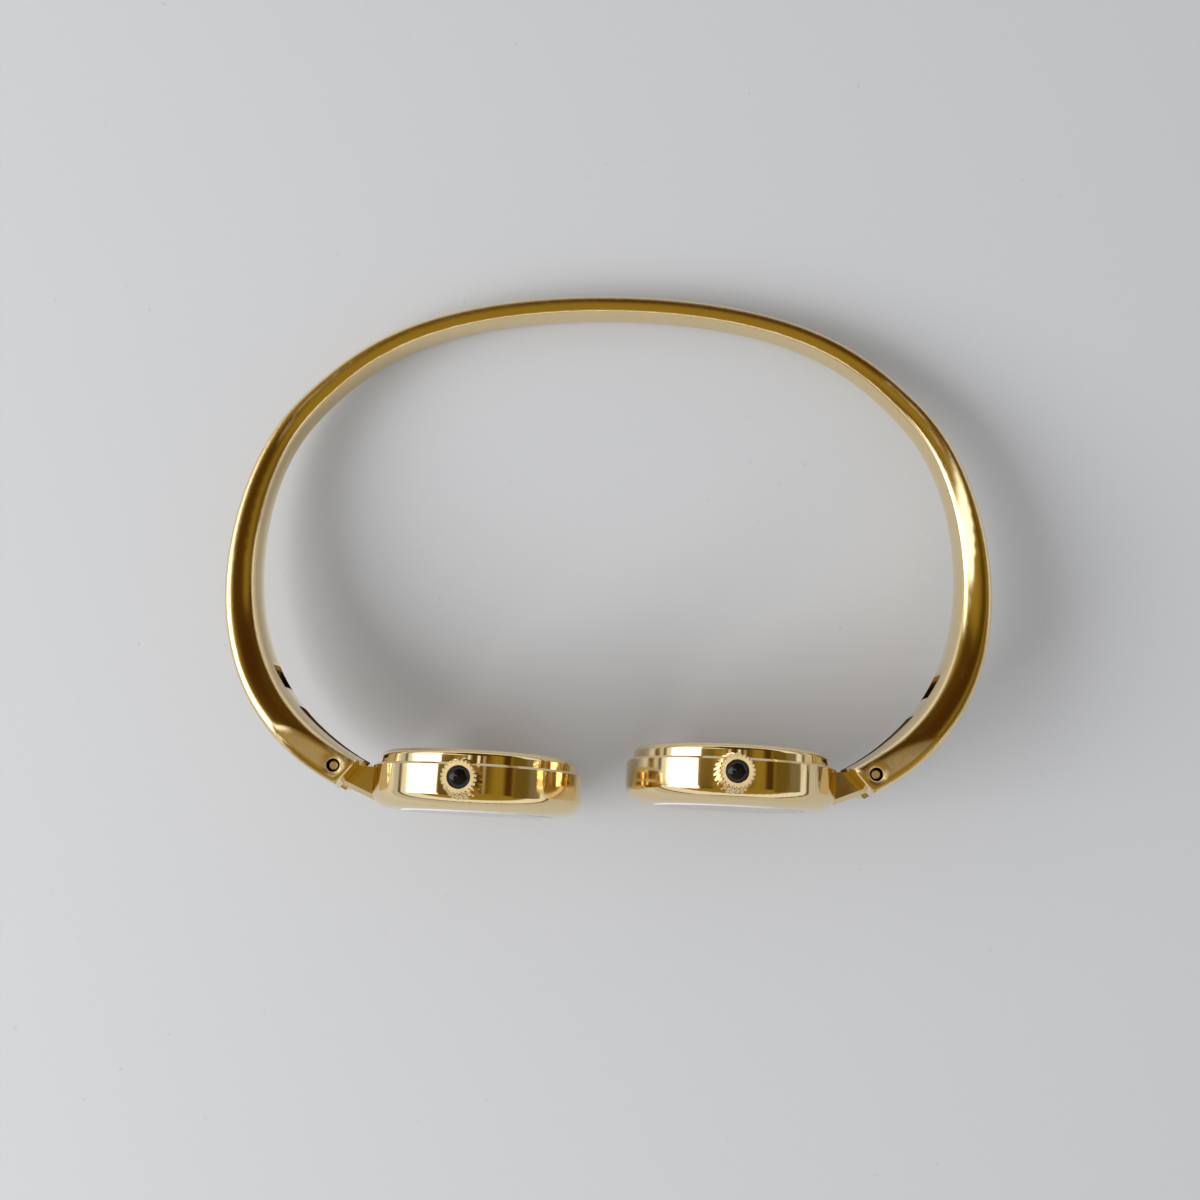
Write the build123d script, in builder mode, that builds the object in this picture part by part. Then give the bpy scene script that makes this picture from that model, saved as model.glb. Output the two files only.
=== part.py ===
"""Bangle watch: a sprung open bangle with a round watch head hinged at each end.

Frame, in millimetres: the origin is the centre of the wrist opening at the middle of the
band's width. X runs from the left head to the right one, Y from the heads to the back of
the band, and Z along the hinge pins, which is also the side that both crowns point to.
"""

from build123d import *
import os
from math import atan2, cos, degrees, radians, sin

# Bangle, seen along Z
band_half_width = 34.05
band_height = 43.65          # from the hinge line to the outside of the back
hinge_line_y = -22.0
head_gap = 3.8               # between the free ends of the two heads
pin_to_case = 2.85           # from the hinge pin to the side of the case
head_turn = -2.0             # degrees that both heads stand turned about their pins at rest

# Band section
band_end_thickness = 3.35
band_end_width = 9.6
facet_half_width = 4.3       # flat sides that the pin ends come out of
ear_tip_reach = 1.25         # from the hinge pin to the end of the band, along the band
side_slope_share = 0.2       # how far the sides draw in towards the wrist, of the thickness
side_bulge_share = 0.045     # how far the sides swell out, of the thickness
corner_round_share = 0.17    # of the local thickness

# Hinge
pin_radius = 0.38
pin_fit_clearance = 0.01
pin_running_clearance = 0.03
pin_end_recess = 0.12
pin_end_chamfer = 0.08
counterbore_radius = 0.575
counterbore_depth = 0.3
knuckle_radius = 1.3
knuckle_half_width = 1.5
knuckle_side_clearance = 0.1
knuckle_end_clearance = 0.15
link_outer_level = 2.5       # towards the dial, from the hinge line, where it meets the case
link_inner_level = 0.2       # towards the wrist, from the hinge line
link_edge_bevel = 0.4
tail_length = 2.3
tail_outer_level = 0.55
tail_inner_level = 0.4
tail_swing_clearance = 0.2

# Leaf spring and the cuts for it in the inside face of the band
leaf_thickness = 0.28
leaf_half_width = 1.35
leaf_tail_gap = 0.14
leaf_side_clearance = 0.2
leaf_floor_clearance = 0.05
leaf_overlap_on_tail = 0.7
channel_length = 6.3         # all lengths here are from the hinge pin
bridge_end = 8.3
window_end = 10.7
anchor_end = 11.2
leaf_end_clearance = 0.05

# Case
case_diameter = 18.2
hinge_to_back_seat = 0.5
case_wall_height = 2.45
bezel_round_width = 2.1
bezel_round_height = 1.35
lip_chamfer = 0.2
case_wall_thickness = 1.2
bezel_land = 0.25
crystal_thickness = 0.5
crystal_proud = 0.08
crystal_chamfer = 0.12
crystal_gasket_thickness = 0.2
seal_clearance = 0.02
rehaut_step = 0.5            # ledge that the crystal sits on

# Case back
back_rim_inset = 0.6
back_inner_depth = 0.25
back_height = 1.2
back_round_height = 0.55
back_round_width = 0.95
spigot_thickness = 0.4
spigot_depth = 0.35
spigot_clearance = 0.08
back_gasket_width = 0.28
back_gasket_height = 0.28
pry_notch_width = 1.6
pry_notch_height = 0.3
pry_notch_depth = 0.35

# Dial and hands
dial_to_crystal = 0.63
dial_thickness = 0.25
dial_edge_clearance = 0.08
dial_hole_clearance = 0.12
marker_length_share = 0.17    # of the radius of the opening, as are the hands' lengths
marker_inset_share = 0.055
marker_width = 0.28
marker_height = 0.1
marker_count = 12
hand_thickness = 0.1
hand_gap = 0.16
hour_hand_share = 0.55
minute_hand_share = 0.82
hand_width = 0.42
hand_tip_width = 0.12
hand_tail = 1.0
hand_taper_share = 0.7
hub_wall = 0.22
left_hour_hand_angle = 305.0
right_hour_hand_angle = 155.0
minute_hand_angle = 60.0

# Movement: heights from the dial back, and sizes across it as shares of the plate's radius
motion_space = 0.55
plate_thickness = 0.5
holder_wall = 0.8            # of the ring that centres the plate in the case
plate_width_share = 0.84
train_space = 1.15
bridge_thickness = 0.15
holder_clearance = 0.1
holder_seat_gap = 0.03
running_gap = 0.05
wheel_thickness = 0.14
jewel_clearance = 0.03

# Wheels
motion_module_share = 0.0129
centre_module_share = 0.0086
train_module_share = 0.0079
cannon_teeth = 10
minute_wheel_teeth = 30
minute_pinion_teeth = 8
hour_wheel_teeth = 32
centre_teeth = 60
train_teeth = 54
train_pinion_teeth = 6
rotor_pinion_teeth = 6
addendum_share = 0.75
dedendum_share = 1.1
root_width_share = 0.56      # shares of one tooth pitch
tip_width_share = 0.2
arbor_radius = 0.17
cannon_tube_radius = 0.34
hour_tube_radius = 0.58
tube_running_clearance = 0.04
press_clearance = 0.01
post_radius = 0.2
pivot_radius = 0.1
rotor_radius_share = 0.071
rotor_thickness = 0.4
train_wheel_direction = -25.0
rotor_direction = -62.0

# Stepping motor
stator_thickness = 0.25
stator_gap = 0.14
stator_ring_share = 0.064
stator_leg_share = 0.086
coil_radius = 0.36
coil_flange_radius = 0.42
coil_length_share = 0.57
coil_flange_thickness = 0.2
coil_bore_radius = 0.22
core_half_width = 0.14
coil_plate_gap = 0.27
coil_x_share = 0.243
coil_y_share = -0.68

# Battery, strap and circuit board
battery_diameter_share = 0.686
battery_thickness = 1.65
battery_cap_share = 0.8      # of the battery's own radius
battery_step = 0.2
battery_clearance = 0.1
battery_x_share = -0.572
battery_y_share = -0.257
strap_thickness = 0.1
strap_width_share = 0.171
strap_foot_share = 0.05
strap_foot_gap = 0.15
board_thickness = 0.12
board_width_share = 0.43
board_length_share = 0.6
board_x_share = 0.5
board_y_share = 0.3
quartz_radius = 0.4
quartz_length_share = 0.486
quartz_inset_share = 0.086
chip_size_share = 0.157
chip_height = 0.3

# Train bridge and its pillars
bridge_x_shares = (-0.11, -0.11, 0.09, 0.21, 0.79, 0.79, 0.29, 0.17)
bridge_y_shares = (-0.09, 0.09, 0.49, 0.49, -0.17, -0.27, -0.585, -0.585)
pillar_x_shares = (0.143, 0.714, 0.229)
pillar_y_shares = (0.414, -0.214, -0.521)
pillar_radius_share = 0.047

# Crown and stem, from the axis of the head towards +Z
stem_offset = -0.4           # the crowns stand a little to the left of the heads' axes
crown_level = 0.86           # from the hinge line towards the dial
crown_base_radius = 1.7
crown_end_radius = 1.45
crown_height = 2.9
crown_case_gap = 0.25
crown_flutes = 24
flute_depth = 0.14
flute_width_share = 0.6      # of the space from one flute to the next
crown_edge_round = 0.12
crown_cavity_depth = 1.7
crown_gasket_width = 0.2
crown_gasket_height = 0.3
crown_gasket_inset = 0.1
cabochon_radius = 0.93
cabochon_dome = 0.45
cabochon_seat_depth = 0.25
cabochon_clearance = 0.02
stem_head_cover = 0.16       # metal left between the stem and the cabochon's seat
tube_outer_radius = 0.7
tube_wall = 0.2
tube_reach = 1.5
tube_inside = 0.2
stem_radius = 0.33
stem_square = 0.42
stem_end_reserve = 0.15      # of the square that stays in the pinion when the crown is out
crown_pull_travel = 0.7
pinion_slide_clearance = 0.02
sliding_pinion_radius = 0.5
sliding_pinion_length = 0.65
sliding_pinion_teeth = 10
pinion_plate_gap = 0.2
stem_plate_gap = 0.1

overrun = 2.0                # how far cuts run past what they cut

# Stations of the band from its end to the middle of its back
end_x_shares = (-0.212, 0.22, 0.626, 0.883, 1.0)            # from the pin to the widest point
upper_x_shares = (0.975, 0.893, 0.734, 0.514, 0.264, 0.0)   # of the half width
y_shares = (-0.0655, -0.0092, 0.0859, 0.206, 0.378, 0.543, 0.703, 0.8385, 0.939, 0.9863, 1.0)
thickness_shares = (0.94, 1.0, 1.03, 0.99, 0.9, 0.77, 0.68, 0.59, 0.545, 0.525, 0.52)
width_shares = (1.02, 1.0, 0.86, 0.67, 0.51, 0.43, 0.385, 0.37, 0.36, 0.35, 0.35)
outer_crown_shares = (0.13, 0.13, 0.13, 0.14, 0.16, 0.18, 0.2, 0.21, 0.22, 0.22, 0.22)
inner_crown_shares = (0.09, 0.09, 0.09, 0.08, 0.06, 0.05, 0.05, 0.05, 0.05, 0.05, 0.05)

# Sizes that follow from those above
case_radius = case_diameter / 2
pin_to_axis = case_radius + pin_to_case
pin_x = head_gap / 2 + case_diameter + pin_to_case
slot_half_width = knuckle_half_width + knuckle_side_clearance
leaf_half_slot = leaf_half_width + leaf_side_clearance
leaf_level = tail_inner_level + leaf_tail_gap
pin_hole_radius = pin_radius + pin_fit_clearance

# Levels along a head, from the hinge line towards the dial
back_seat = -hinge_to_back_seat
back_inner = back_seat - back_inner_depth
back_face = back_seat - back_height
back_edge = back_face + back_round_height
wall_front = back_seat + case_wall_height
bezel_front = wall_front + bezel_round_height
crystal_front = bezel_front + crystal_proud
crystal_back = crystal_front - crystal_thickness
dial_front = crystal_back - dial_to_crystal
dial_back = dial_front - dial_thickness
plate_front = dial_back - motion_space
plate_back = plate_front - plate_thickness
bridge_front = plate_back - train_space
bridge_back = bridge_front - bridge_thickness
battery_front = plate_front - running_gap
battery_back = battery_front - battery_thickness
strap_back = battery_back - strap_thickness
holder_back = back_seat + spigot_depth + holder_seat_gap
hour_wheel_front = dial_back - running_gap
hour_wheel_back = hour_wheel_front - wheel_thickness
minute_wheel_back = plate_front + running_gap
minute_wheel_front = minute_wheel_back + wheel_thickness
hour_hand_back = dial_front + hand_gap
hour_hand_front = hour_hand_back + hand_thickness
minute_hand_back = hour_hand_front + hand_gap
minute_hand_front = minute_hand_back + hand_thickness
train_wheel_back = bridge_front + running_gap
train_wheel_front = train_wheel_back + wheel_thickness
centre_wheel_front = plate_back - running_gap
centre_wheel_back = centre_wheel_front - wheel_thickness
rotor_front = plate_back - running_gap
rotor_back = rotor_front - rotor_thickness
stator_back = plate_back - stator_thickness
coil_level = plate_back - coil_plate_gap - coil_flange_radius
board_back = plate_back - board_thickness

# Radii of a head
case_bore = case_radius - case_wall_thickness
crystal_bore = case_radius - bezel_round_width - bezel_land
crystal_radius = crystal_bore - crystal_gasket_thickness - 2 * seal_clearance
opening_radius = crystal_radius - rehaut_step
back_radius = case_radius - back_rim_inset
spigot_radius = case_bore - spigot_clearance
back_groove_radius = case_bore + back_gasket_width
holder_radius = case_bore - holder_clearance
plate_radius = holder_radius - holder_wall
plate_half_width = plate_radius * plate_width_share
marker_length = opening_radius * marker_length_share
marker_inset = opening_radius * marker_inset_share
hour_hand_length = opening_radius * hour_hand_share
minute_hand_length = opening_radius * minute_hand_share
crown_bore = tube_outer_radius + crown_gasket_width + 2 * seal_clearance
tube_bore = tube_outer_radius - tube_wall
crown_root = case_radius + crown_case_gap
crown_end = crown_root + crown_height

# Sizes across the movement
motion_module = plate_radius * motion_module_share
centre_module = plate_radius * centre_module_share
train_module = plate_radius * train_module_share
rotor_radius = plate_radius * rotor_radius_share
stator_ring_width = plate_radius * stator_ring_share
stator_leg_width = plate_radius * stator_leg_share
coil_length = plate_radius * coil_length_share
battery_radius = plate_radius * battery_diameter_share / 2
strap_width = plate_radius * strap_width_share
strap_foot = plate_radius * strap_foot_share
board_width = plate_radius * board_width_share
board_length = plate_radius * board_length_share
quartz_length = plate_radius * quartz_length_share
quartz_inset = plate_radius * quartz_inset_share
chip_size = plate_radius * chip_size_share
pillar_radius = plate_radius * pillar_radius_share

# Pitch radii and places of the wheels
cannon_pitch = motion_module * cannon_teeth / 2
minute_wheel_pitch = motion_module * minute_wheel_teeth / 2
minute_wheel_distance = cannon_pitch + minute_wheel_pitch
centre_pitch = centre_module * centre_teeth / 2
train_pinion_pitch = centre_module * train_pinion_teeth / 2
train_pitch = train_module * train_teeth / 2
rotor_pinion_pitch = train_module * rotor_pinion_teeth / 2
train_distance = centre_pitch + train_pinion_pitch
rotor_distance = train_pitch + rotor_pinion_pitch


def polar(radius, angle):
    """A point at a radius and an angle in degrees."""
    return (radius * cos(radians(angle)), radius * sin(radians(angle)))


def turned(x, y):
    """A direction in the XY plane, turned as both heads stand."""
    c, s = cos(radians(head_turn)), sin(radians(head_turn))
    return Vector(c * x - s * y, s * x + c * y, 0)


def shares_of(radius, x_share, y_share):
    """A place on the plate from its shares of a radius."""
    return (radius * x_share, radius * y_share)


minute_place = (stem_offset, (minute_wheel_distance**2 - stem_offset**2) ** 0.5)
minute_direction = degrees(atan2(minute_place[1], minute_place[0]))
train_place = polar(train_distance, train_wheel_direction)
rotor_step = polar(rotor_distance, rotor_direction)
rotor_place = (train_place[0] + rotor_step[0], train_place[1] + rotor_step[1])
battery_place = shares_of(plate_radius, battery_x_share, battery_y_share)
coil_place = shares_of(plate_radius, coil_x_share, coil_y_share)
board_place = shares_of(plate_radius, board_x_share, board_y_share)
pillar_places = [shares_of(plate_radius, x, y)
                 for x, y in zip(pillar_x_shares, pillar_y_shares)]
bridge_points = [shares_of(plate_radius, x, y)
                 for x, y in zip(bridge_x_shares, bridge_y_shares)]
tab_distance = coil_length / 2 + stator_leg_width / 2
tab_places = [(coil_place[0] + s * tab_distance, coil_place[1]) for s in (-1, 1)]
strap_foot_distance = battery_radius + battery_clearance + strap_foot_gap + strap_foot / 2
pinion_low = minute_place[1] + minute_wheel_pitch + motion_module + pinion_plate_gap
pinion_high = pinion_low + sliding_pinion_length
stem_low = pinion_low - crown_pull_travel - stem_end_reserve


def write(piece, label):
    """Label a finished piece and write it."""
    piece.part.label = label
    export_step(piece.part, f"parts/{label}.step")


def box_sketch(x0, x1, y0, y1, mode=Mode.ADD):
    """A rectangle between two corners, on the sketch being made."""
    with Locations(((x0 + x1) / 2, (y0 + y1) / 2)):
        Rectangle(x1 - x0, y1 - y0, mode=mode)


def tooth_outline(module, teeth, tooth_at=0.0):
    """Corners of a wheel with straight-sided teeth, one of them centred at an angle."""
    pitch_angle = 360 / teeth
    tip = module * (teeth / 2 + addendum_share)
    root = module * (teeth / 2 - dedendum_share)
    points = []
    for tooth in range(teeth):
        middle = tooth_at + tooth * pitch_angle
        points.append(polar(root, middle - root_width_share / 2 * pitch_angle))
        points.append(polar(tip, middle - tip_width_share / 2 * pitch_angle))
        points.append(polar(tip, middle + tip_width_share / 2 * pitch_angle))
        points.append(polar(root, middle + root_width_share / 2 * pitch_angle))
    return points


def gap_facing(teeth, direction):
    """Tooth angle of a wheel that shows a gap along a direction."""
    return direction + 180 / teeth


# Bangle


def band_station(index, side):
    """Point on the outside of the band at one station, on one side."""
    if index < len(end_x_shares):
        x = pin_x + end_x_shares[index] * (band_half_width - pin_x)
    else:
        x = band_half_width * upper_x_shares[index - len(end_x_shares)]
    return Vector(side * x, hinge_line_y + y_shares[index] * band_height, 0)


def pin_point(side):
    """Where a hinge pin's axis crosses the middle of the width."""
    return Vector(side * pin_x, hinge_line_y, 0)


station_count = len(y_shares)
band_indices = list(range(station_count)) + list(reversed(range(station_count - 1)))
band_sides = [-1] * station_count + [1] * (station_count - 1)
band_points = [band_station(i, s) for i, s in zip(band_indices, band_sides)]
outside_curve = Edge.make_spline(band_points)


def section_plane(point):
    """Plane across the band at a point of its outside: x is the width, y points inwards."""
    along = outside_curve.tangent_at(outside_curve.param_at_point(point))
    return Plane(origin=point, x_dir=(0, 0, 1), z_dir=along)


def hinge_axes(side, turn=0.0):
    """Plane at a pin: x runs into the band, y towards the outside of the bangle."""
    middle = band_station(2, side)
    inwards = section_plane(middle).y_dir * (thickness_shares[2] * band_end_thickness / 2)
    into_band = (middle + inwards - pin_point(side)).rotate(Axis.Z, turn)
    return Plane(origin=pin_point(side), x_dir=into_band, z_dir=(0, 0, -side))


def make_band():
    """The sprung bar, with a fork at each end and the cuts for its leaf springs."""
    with BuildPart() as band:
        for point, index in zip(band_points, band_indices):
            thickness = thickness_shares[index] * band_end_thickness
            half = width_shares[index] * band_end_width / 2
            near = half - side_slope_share * thickness
            outer = outer_crown_shares[index] * thickness
            inner = thickness * (1 - inner_crown_shares[index])
            swell = ((half + near) / 2 + side_bulge_share * thickness, (outer + inner) / 2)
            with BuildSketch(section_plane(point)) as section:
                with BuildLine():
                    ThreePointArc((-half, outer), (0, 0), (half, outer))
                    ThreePointArc((half, outer), swell, (near, inner))
                    ThreePointArc((near, inner), (0, thickness), (-near, inner))
                    ThreePointArc((-near, inner), (-swell[0], swell[1]), (-half, outer))
                make_face()
                fillet(section.vertices(), corner_round_share * thickness)
        loft()
        with BuildSketch(Plane.XY):
            Rectangle(2 * band_half_width + overrun, 2 * band_height + overrun)
        extrude(amount=facet_half_width, both=True, mode=Mode.INTERSECT)
        for side in (-1, 1):
            across = hinge_axes(side)
            far = band_end_thickness + overrun
            floor = -(leaf_level - leaf_floor_clearance)
            roof = -(leaf_level + leaf_thickness + leaf_floor_clearance)
            with BuildSketch(across):
                box_sketch(-ear_tip_reach - far, -ear_tip_reach, -far, far)
            extrude(amount=band_end_width, both=True, mode=Mode.SUBTRACT)
            with BuildSketch(across):
                box_sketch(-far, knuckle_radius + knuckle_end_clearance, -far, far)
                box_sketch(0, tail_length + tail_swing_clearance, -far,
                           tail_outer_level + tail_swing_clearance)
            extrude(amount=slot_half_width, both=True, mode=Mode.SUBTRACT)
            with BuildSketch(across):
                box_sketch(0, channel_length, -far, floor)
                box_sketch(bridge_end, window_end, -far, floor)
                box_sketch(0, anchor_end, roof, floor)
            extrude(amount=leaf_half_slot, both=True, mode=Mode.SUBTRACT)
            for face_side in (-1, 1):
                level = Vector(0, 0, face_side * facet_half_width)
                with Locations(Plane(origin=pin_point(side) + level, z_dir=(0, 0, face_side))):
                    CounterBoreHole(pin_hole_radius, counterbore_radius, counterbore_depth,
                                    facet_half_width)
    return band


def make_hinge_pins():
    """Both hinge pins, one in each fork."""
    with BuildPart() as pins:
        for side in (-1, 1):
            with BuildSketch(Plane(origin=pin_point(side))):
                Circle(pin_radius)
            extrude(amount=facet_half_width - pin_end_recess, both=True)
        chamfer(pins.edges().filter_by(GeomType.CIRCLE), pin_end_chamfer)
    return pins


def make_leaf_spring(side):
    """Flat spring from its anchor in the band to the tail of the hinge knuckle."""
    with BuildPart() as leaf:
        with BuildSketch(hinge_axes(side)):
            box_sketch(tail_length - leaf_overlap_on_tail, anchor_end - leaf_end_clearance,
                       -leaf_level - leaf_thickness, -leaf_level)
        extrude(amount=leaf_half_width, both=True)
    return leaf


# Watch heads


class HeadFrame:
    """Planes and axes of one head."""

    def __init__(self, side):
        self.side = side
        self.right = turned(1, 0)
        self.front = turned(0, -1)
        self.centre = pin_point(side) - self.right * (side * pin_to_axis)
        self.axis = Axis(self.centre, self.front)
        self.section = Plane(origin=self.centre, x_dir=self.right, z_dir=(0, 0, -1))
        self.stem_root = self.centre + self.front * crown_level + self.right * stem_offset
        self.stem_axis = Axis(self.stem_root, Vector(0, 0, 1))
        self.stem_section = Plane(origin=self.stem_root, x_dir=self.right, z_dir=self.front)

    def face(self, level):
        """Plane across the head: x to the right, y to the crown, z towards the dial side."""
        return Plane(origin=self.centre + self.front * level, x_dir=self.right,
                     z_dir=self.front)

    def stem_face(self, height):
        """Plane across the stem at a height from the axis of the head."""
        return Plane(origin=self.stem_root + Vector(0, 0, height), x_dir=self.right,
                     z_dir=(0, 0, 1))


def add_post(head, place, radius, low, high, mode=Mode.ADD):
    """Add or cut one round post between two levels of a head."""
    with BuildSketch(head.face(low)) as disc:
        with Locations(place):
            Circle(radius)
    extrude(disc.sketch, amount=high - low, mode=mode)


def add_wheel(head, place, module, teeth, tooth_at, low, high):
    """Add one toothed wheel between two levels of a head."""
    with BuildSketch(head.face(low)) as teeth_sketch:
        with Locations(place):
            Polygon(*tooth_outline(module, teeth, tooth_at), align=None)
    extrude(teeth_sketch.sketch, amount=high - low)


def make_ring(head, inner, outer, low, high):
    """A plain ring between two levels of a head."""
    with BuildPart() as piece:
        with BuildSketch(head.face(low)):
            Circle(outer)
            Circle(inner, mode=Mode.SUBTRACT)
        extrude(amount=high - low)
    return piece


def make_link(head):
    """Arm from the case to its hinge knuckle, bevelled along its outer edges."""
    side_plane = Plane(origin=pin_point(head.side), x_dir=head.right * -head.side,
                       z_dir=(0, 0, head.side))
    inside = pin_to_case + case_wall_thickness / 2
    rise = (link_outer_level - knuckle_radius) / pin_to_case
    with BuildPart() as link:
        with BuildSketch(side_plane):
            Polygon((0, -link_inner_level), (inside, -link_inner_level),
                    (inside, knuckle_radius + rise * inside), (0, knuckle_radius),
                    align=None)
        extrude(amount=knuckle_half_width, both=True)
        across_edges = link.faces().sort_by(head.axis)[-1].edges().group_by(Axis.Z)
        chamfer(across_edges[0] + across_edges[-1], link_edge_bevel)
    return link


def make_case(head):
    """Case with its rounded bezel, and the link, knuckle and tail of its hinge."""
    link = make_link(head)
    with BuildPart() as case:
        with BuildSketch(head.section):
            with BuildLine():
                Polyline((case_bore, back_seat), (case_radius - lip_chamfer, back_seat),
                         (case_radius, back_seat + lip_chamfer), (case_radius, wall_front))
                EllipticalCenterArc((case_radius - bezel_round_width, wall_front),
                                    bezel_round_width, bezel_round_height, arc_size=90)
                Polyline((case_radius - bezel_round_width, bezel_front),
                         (crystal_bore, bezel_front),
                         (crystal_bore, crystal_back), (opening_radius, crystal_back),
                         (opening_radius, dial_front), (case_bore, dial_front),
                         (case_bore, back_seat))
            make_face()
        revolve(axis=head.axis)
        add(link.part)
        with BuildSketch(hinge_axes(head.side, head_turn)):
            Circle(knuckle_radius)
            box_sketch(0, tail_length, -tail_inner_level, tail_outer_level)
        extrude(amount=knuckle_half_width, both=True)
        with BuildSketch(Plane(origin=pin_point(head.side))):
            Circle(pin_radius + pin_running_clearance)
        extrude(amount=knuckle_half_width + overrun, both=True, mode=Mode.SUBTRACT)
        with BuildSketch(head.stem_face(case_bore - overrun)):
            Circle(tube_outer_radius)
        extrude(amount=case_wall_thickness + 2 * overrun, mode=Mode.SUBTRACT)
        with BuildSketch(head.face(back_seat)):
            Circle(back_groove_radius)
        extrude(amount=back_gasket_height + seal_clearance, mode=Mode.SUBTRACT)
    return case


def make_case_back(head):
    """Domed snap-on back, hollow inside, with a notch to lift it by."""
    inner_radius = spigot_radius - spigot_thickness
    with BuildPart() as back:
        with BuildSketch(head.section):
            with BuildLine():
                Polyline((0, back_face), (0, back_inner), (inner_radius, back_inner),
                         (inner_radius, back_seat + spigot_depth),
                         (spigot_radius, back_seat + spigot_depth), (spigot_radius, back_seat),
                         (back_radius, back_seat), (back_radius, back_edge))
                EllipticalCenterArc((back_radius - back_round_width, back_edge),
                                    back_round_width, back_round_height, start_angle=270,
                                    arc_size=90)
                Line((back_radius - back_round_width, back_face), (0, back_face))
            make_face()
        revolve(axis=head.axis)
        with BuildSketch(head.face(back_seat - pry_notch_height)):
            with Locations((0, -back_radius)):
                Rectangle(pry_notch_width, 2 * pry_notch_depth)
        extrude(amount=pry_notch_height, mode=Mode.SUBTRACT)
    return back


def make_crystal(head):
    """Flat glass with a bevelled edge."""
    with BuildPart() as crystal:
        with BuildSketch(head.face(crystal_back)):
            Circle(crystal_radius)
        extrude(amount=crystal_thickness)
        chamfer(crystal.edges().filter_by(GeomType.CIRCLE).sort_by(head.axis)[-1],
                crystal_chamfer)
    return crystal


def make_dial(head):
    """Dial with applied bars for the hours."""
    with BuildPart() as dial:
        with BuildSketch(head.face(dial_back)):
            Circle(case_bore - dial_edge_clearance)
            Circle(hour_tube_radius + dial_hole_clearance, mode=Mode.SUBTRACT)
        extrude(amount=dial_thickness)
        with BuildSketch(head.face(dial_front)):
            with PolarLocations(opening_radius - marker_inset - marker_length / 2,
                                marker_count):
                Rectangle(marker_length, marker_width)
        extrude(amount=marker_height)
    return dial


def make_hand(head, length, angle, bore, level):
    """Tapered hand with a round hub, pointing at an angle from twelve o'clock."""
    taper = length * hand_taper_share
    with BuildPart() as hand:
        with BuildSketch(head.face(level)):
            with Locations(Rotation(0, 0, 180 - angle)):
                Polygon((-hand_tail, -hand_width / 2), (taper, -hand_width / 2),
                        (length, -hand_tip_width / 2), (length, hand_tip_width / 2),
                        (taper, hand_width / 2), (-hand_tail, hand_width / 2), align=None)
            Circle(bore + hub_wall)
            Circle(bore, mode=Mode.SUBTRACT)
        extrude(amount=hand_thickness)
    return hand


def plate_outline(grow=0.0, mode=Mode.ADD):
    """Outline of the movement: a disc with two sides cut flat."""
    width = 2 * (plate_half_width + grow)
    radius = plate_radius + grow
    outline = Sketch() + (Circle(radius, mode=Mode.PRIVATE)
                          & Rectangle(2 * radius, width, mode=Mode.PRIVATE))
    add(outline, mode=mode)


def make_holder(head):
    """Plastic ring that centres the movement in the case."""
    with BuildPart() as holder:
        with BuildSketch(head.face(holder_back)):
            Circle(holder_radius)
            plate_outline(holder_clearance, Mode.SUBTRACT)
        extrude(amount=dial_back - holder_back)
        with BuildSketch(head.stem_face(plate_half_width - overrun)):
            Circle(tube_outer_radius + holder_clearance)
        extrude(amount=holder_radius, mode=Mode.SUBTRACT)
    return holder


def make_mainplate(head):
    """Plate that carries the wheels, with the battery well and the slot for the stem."""
    with BuildPart() as plate:
        with BuildSketch(head.face(plate_back)):
            plate_outline()
            Circle(arbor_radius + jewel_clearance, mode=Mode.SUBTRACT)
            with Locations(battery_place):
                Circle(battery_radius + battery_clearance, mode=Mode.SUBTRACT)
            with Locations(train_place, rotor_place):
                Circle(pivot_radius + jewel_clearance, mode=Mode.SUBTRACT)
            clear = sliding_pinion_radius + pinion_plate_gap
            box_sketch(stem_offset - clear, stem_offset + clear, pinion_low - pinion_plate_gap,
                       plate_radius, mode=Mode.SUBTRACT)
        extrude(amount=plate_thickness)
        add_post(head, minute_place, post_radius, plate_front, hour_wheel_front)
        half = stem_radius + stem_plate_gap
        with BuildSketch(head.stem_section):
            box_sketch(-half, half, stem_low - stem_plate_gap, plate_radius)
        extrude(amount=half, both=True, mode=Mode.SUBTRACT)
    return plate


def make_train_bridge(head):
    """Thin bridge under the train, on three pillars."""
    with BuildPart() as bridge:
        with BuildSketch(head.face(bridge_back)):
            Polygon(*bridge_points, align=None)
            Circle(pivot_radius + jewel_clearance, mode=Mode.SUBTRACT)
            with Locations(train_place, rotor_place):
                Circle(pivot_radius + jewel_clearance, mode=Mode.SUBTRACT)
        extrude(amount=bridge_thickness)
        for place in pillar_places:
            add_post(head, place, pillar_radius, bridge_front, plate_back)
    return bridge


def make_centre_wheel(head):
    """Wheel that turns once an hour, with the arbor that carries the cannon pinion."""
    with BuildPart() as centre:
        add_wheel(head, (0, 0), centre_module, centre_teeth,
                  train_wheel_direction, centre_wheel_back, centre_wheel_front)
        add_post(head, (0, 0), arbor_radius, bridge_front + running_gap, minute_hand_back)
        add_post(head, (0, 0), pivot_radius, bridge_back, bridge_front + running_gap)
    return centre


def make_cannon_pinion(head):
    """Tube with the pinion that drives the motion work and carries the minute hand."""
    with BuildPart() as cannon:
        add_wheel(head, (0, 0), motion_module, cannon_teeth, minute_direction,
                  minute_wheel_back, minute_wheel_front)
        add_post(head, (0, 0), cannon_tube_radius, minute_wheel_front, minute_hand_front)
        add_post(head, (0, 0), arbor_radius + press_clearance, minute_wheel_back,
                 minute_hand_back + press_clearance, Mode.SUBTRACT)
    return cannon


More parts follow.
